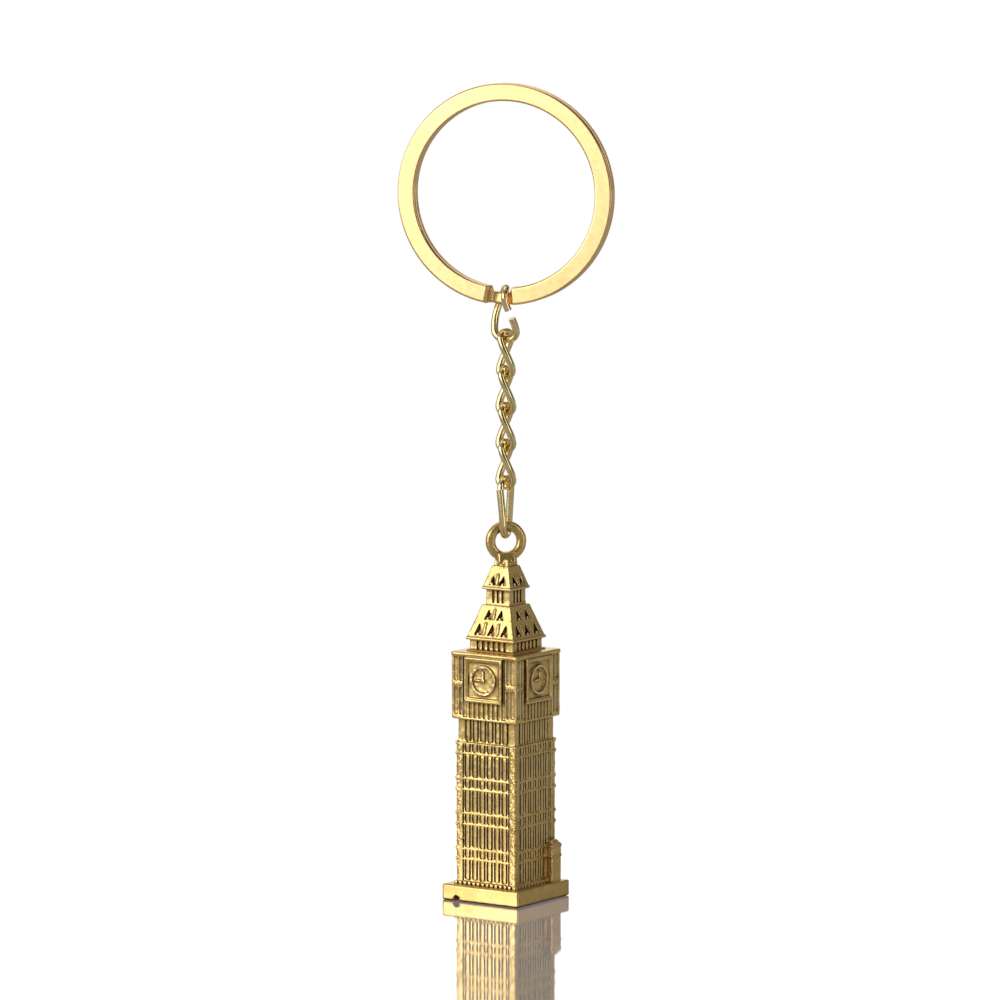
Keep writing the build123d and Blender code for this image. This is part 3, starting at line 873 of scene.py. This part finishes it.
def make_roof(tower, shape, rows):
    """Tapering roof: a frustum under four plates with pointed niches, a ball in each, and ridges."""
    foot_half, foot, head_half, head = shape
    lean = math.atan2(foot_half - head_half, head - foot)
    slope = math.hypot(foot_half - head_half, head - foot)
    inset = NICHE_DEPTH / math.cos(lean)
    block(tower, foot_half - inset, foot - LAP, head + LAP, head_half - inset)
    side = bmesh.new()
    tilted = Matrix.Translation((0, foot, foot_half)) @ Matrix.Rotation(-lean, 4, "X")
    outlines = [[(-foot_half, 0), (foot_half, 0), (head_half, slope), (-head_half, slope)]]
    for level, height, width, pitch, count in rows:
        up = (level - foot) / math.cos(lean)
        peak = up + height
        for middle in spaced(count, pitch):
            outlines.append([(middle - width / 2, up), (middle + width / 2, up), (middle, peak)])
            ball(side, tilted @ Vector((middle, up + BALL_RISE, -BALL_SINK)), BALL)
        for middle in spaced(count - 1, pitch):
            low, high = middle - ROOF_RIDGE, middle + ROOF_RIDGE
            ridge = rectangle(low, high, up, peak, RIDGE_ROUNDING, RIDGE_ROUNDING)
            plate(side, [ridge], -LAP, RIDGE_FACE, tilted)
    plate(side, outlines, -NICHE_DEPTH - 0.12, 0.0, tilted)
    on_four_sides(tower, side)


def make_neck_and_eye(tower):
    """Beaded square neck, and a flare under a round eye that stands across the tower's diagonal."""
    half, bottom, top = NECK
    radius, section, height = EYE
    block(tower, half, bottom - 0.2, top, head_half=half * NECK_TAPER, soften=0.12)
    side = bmesh.new()
    for across in (-0.5, 0.5):
        ball(side, Vector((across, (bottom + top) / 2 - 0.1, half - 0.12)), NECK_BEAD)
    on_four_sides(tower, side)
    turned = Matrix.Rotation(math.radians(EYE_TURN), 4, "Z")
    flare = bmesh.new()
    solid(flare, frustum_corners(FLARE_FOOT, FLARE_HEAD, top - 0.4, FLARE_TOP), 0.2)
    join(tower, flare, turned)
    loop = bmesh.new()
    steps, around = EYE_PARTS
    rings = []
    for i in range(steps):
        angle = 2 * math.pi * i / steps
        outward = Vector((math.cos(angle), 0, math.sin(angle)))
        ring = []
        for j in range(around):
            turn = 2 * math.pi * j / around
            reach = section * (1 - EYE_SQUARENESS * math.cos(4 * turn))
            place = outward * (radius + reach * math.cos(turn)) + Vector((0, reach * math.sin(turn), 0))
            ring.append(loop.verts.new(place))
        rings.append(ring)
    for i in range(steps):
        ring, following = rings[i], rings[(i + 1) % steps]
        for j in range(around):
            k = (j + 1) % around
            loop.faces.new((ring[j], ring[k], following[k], following[j]))
    bmesh.ops.recalc_face_normals(loop, faces=loop.faces)
    join(tower, loop, Matrix.Translation((0, 0, height)) @ turned)


def applied(piece):
    """Mesh of an object with its modifiers applied. The modifiers are removed."""
    graph = bpy.context.evaluated_depsgraph_get()
    data = bpy.data.meshes.new_from_object(piece.evaluated_get(graph))
    piece.modifiers.clear()
    old = piece.data
    piece.data = data
    bpy.data.meshes.remove(old)
    return data


def cast_skin(tower):
    """Melt the overlapping solids into one cast skin with softened edges and a sandy unevenness."""
    data = bpy.data.meshes.new("tower")
    tower.to_mesh(data)
    tower.free()
    piece = bpy.data.objects.new("tower_work", data)
    bpy.context.scene.collection.objects.link(piece)
    remesh = piece.modifiers.new("skin", "REMESH")
    remesh.mode = "VOXEL"
    remesh.voxel_size = VOXEL
    smooth = piece.modifiers.new("soften", "SMOOTH")
    smooth.factor = 0.5
    smooth.iterations = SKIN_SMOOTHING
    for name, size, strength in UNEVENNESS:
        texture = bpy.data.textures.new(name, "CLOUDS")
        texture.noise_scale = size
        uneven = piece.modifiers.new(name, "DISPLACE")
        uneven.texture = texture
        uneven.strength = strength
        uneven.mid_level = 0.5
    count = sum(len(face.vertices) - 2 for face in applied(piece).polygons)
    if count > FACE_LIMIT:
        thin = piece.modifiers.new("thin", "DECIMATE")
        thin.ratio = FACE_LIMIT / count
        applied(piece)
    data = piece.data
    bpy.data.objects.remove(piece)
    return data


def make_tower(material):
    """The whole tower, from the plinth to the eye, as one cast skin."""
    tower = bmesh.new()
    make_plinth(tower)
    make_shaft(tower)
    make_pilaster_knobs(tower)
    make_annex(tower)
    make_clock_stage(tower)
    ribbed_storey(tower, *BELFRY)
    ribbed_storey(tower, *LANTERN)
    for half, bottom, top in (LOWER_EAVE, UPPER_EAVE):
        block(tower, half, bottom, top, soften=EAVE_ROUNDING)
    make_roof(tower, LOWER_ROOF, LOWER_NICHES)
    make_roof(tower, UPPER_ROOF, UPPER_NICHES)
    make_neck_and_eye(tower)
    keep("cast_tower", cast_skin(tower), "tower_casting", material)


# ---------------------------------------------------------------- stage, lights and camera


def make_floor():
    """Pale floor: glossy under a thin white veil on a patch before the tower, plain white elsewhere."""
    bpy.ops.mesh.primitive_plane_add(size=FLOOR_SIZE)
    floor = bpy.context.object
    floor.name = "pale_floor"
    material, nodes, links = new_material("pale_glossy_floor")
    nodes.remove(nodes["Principled BSDF"])
    place = nodes.new("ShaderNodeTexCoord")
    patch = nodes.new("ShaderNodeMapping")
    patch.vector_type = "TEXTURE"
    patch.inputs["Location"].default_value = -plan(CAMERA_TURN + 90) * GLOSS_AHEAD
    patch.inputs["Rotation"].default_value = (0, 0, math.radians(CAMERA_TURN))
    patch.inputs["Scale"].default_value = (*GLOSS_PATCH, 1)
    away = nodes.new("ShaderNodeVectorMath")
    away.operation = "LENGTH"
    links.new(place.outputs["Object"], patch.inputs["Vector"])
    links.new(patch.outputs["Vector"], away.inputs[0])
    mirror_share = spread(nodes, links, away.outputs["Value"], FLOOR_GLOSS, 0.0, *GLOSS_FADE)
    ray = nodes.new("ShaderNodeLightPath")
    strength = spread(nodes, links, ray.outputs["Is Camera Ray"], FLOOR_GLOW, 1.0, 0, 1)
    white = nodes.new("ShaderNodeEmission")
    links.new(strength, white.inputs["Strength"])
    mirror = nodes.new("ShaderNodeBsdfGlossy")
    mirror.inputs["Color"].default_value = (*FLOOR_TINT, 1)
    mirror.inputs["Roughness"].default_value = FLOOR_ROUGHNESS
    mixed = nodes.new("ShaderNodeMixShader")
    links.new(mirror_share, mixed.inputs[0])
    links.new(white.outputs[0], mixed.inputs[1])
    links.new(mirror.outputs[0], mixed.inputs[2])
    links.new(mixed.outputs[0], nodes["Material Output"].inputs["Surface"])
    floor.data.materials.append(material)


def make_studio():
    """White surround for the camera. The metal sees a dim grey room with a white wall behind it."""
    world = bpy.context.scene.world or bpy.data.worlds.new("studio")
    bpy.context.scene.world = world
    world.use_nodes = True
    nodes, links = world.node_tree.nodes, world.node_tree.links
    nodes.clear()
    output = nodes.new("ShaderNodeOutputWorld")
    seen = nodes.new("ShaderNodeBackground")
    seen.inputs["Color"].default_value = (1, 1, 1, 1)
    way = nodes.new("ShaderNodeTexCoord")

    def facing(direction, low, high):
        """Share from 0 to 1 by how nearly a ray points in a direction."""
        side = nodes.new("ShaderNodeVectorMath")
        side.operation = "DOT_PRODUCT"
        side.inputs[1].default_value = direction
        links.new(way.outputs["Generated"], side.inputs[0])
        return spread(nodes, links, side.outputs["Value"], 0, 1, low, high)

    room = blend_colours(nodes, links, facing(ROOM_WAY, *ROOM_RANGE), ROOM_DARK, ROOM_LIGHT)
    wall = facing(plan(CAMERA_TURN + 90), *WALL_RANGE)
    lit = nodes.new("ShaderNodeBackground")
    links.new(blend_colours(nodes, links, wall, room, WALL_LIGHT), lit.inputs["Color"])
    ray = nodes.new("ShaderNodeLightPath")
    mixed = nodes.new("ShaderNodeMixShader")
    links.new(ray.outputs["Is Camera Ray"], mixed.inputs[0])
    links.new(lit.outputs[0], mixed.inputs[1])
    links.new(seen.outputs[0], mixed.inputs[2])
    links.new(mixed.outputs[0], output.inputs["Surface"])
    bpy.context.scene.view_settings.view_transform = "Standard"


def soft_light(name, place, aim, size, power, colour=(1, 1, 1)):
    """Rectangular area light, aimed at a point."""
    data = bpy.data.lights.new(name, "AREA")
    data.shape = "RECTANGLE"
    data.size, data.size_y = size
    data.energy = power
    data.color = colour
    light = bpy.data.objects.new(name, data)
    light.location = place
    light.rotation_euler = (Vector(aim) - Vector(place)).to_track_quat("-Z", "Y").to_euler()
    bpy.context.scene.collection.objects.link(light)


def make_lights(height):
    """A broad key at the left of the camera, a strip and a weak fill at its right, and a top light."""
    middle = UP * height / 2
    for name, turn, away, rise, size, radiance in LIGHTS:
        place = middle + plan(turn) * away + UP * rise
        power = radiance * math.pi * size[0] * size[1]
        soft_light(name, place, middle, size, power)


def make_camera():
    """Long lens, a little above the keychain and turned towards the front corner of the tower."""
    data = bpy.data.cameras.new("camera")
    data.lens = LENS
    data.sensor_width = SENSOR
    camera = bpy.data.objects.new("camera", data)
    turn, rise = math.radians(CAMERA_TURN), math.radians(CAMERA_RISE)
    back = Vector((math.sin(turn) * math.cos(rise), -math.cos(turn) * math.cos(rise), math.sin(rise)))
    aim = UP * AIM_HEIGHT - plan(CAMERA_TURN) * AIM_ASIDE
    camera.location = (aim + back * CAMERA_DISTANCE) * MM
    camera.rotation_euler = (-back).to_track_quat("-Z", "Y").to_euler()
    data.clip_start, data.clip_end = CLIPPING
    bpy.context.scene.collection.objects.link(camera)
    bpy.context.scene.camera = camera


# ---------------------------------------------------------------- the whole keychain

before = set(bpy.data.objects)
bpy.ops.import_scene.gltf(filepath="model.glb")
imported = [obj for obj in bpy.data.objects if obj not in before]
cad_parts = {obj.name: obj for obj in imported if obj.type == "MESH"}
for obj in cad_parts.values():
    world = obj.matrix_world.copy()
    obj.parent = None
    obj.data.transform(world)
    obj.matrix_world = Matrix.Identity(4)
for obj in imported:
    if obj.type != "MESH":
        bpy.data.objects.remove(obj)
cad_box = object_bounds()

wire = wire_metal()
make_split_ring(ring_metal())
make_end_link(wire)
links_in_chain = sorted(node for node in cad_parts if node.startswith("chain_link_"))
for link in links_in_chain:
    make_closed_link(link, FIRST_LINK_TURN if link == links_in_chain[0] else LINK_TURN, wire)
make_jump_ring(wire)
make_tower(cast_metal())
make_floor()
make_studio()
make_lights(cad_box[1].z)
make_camera()
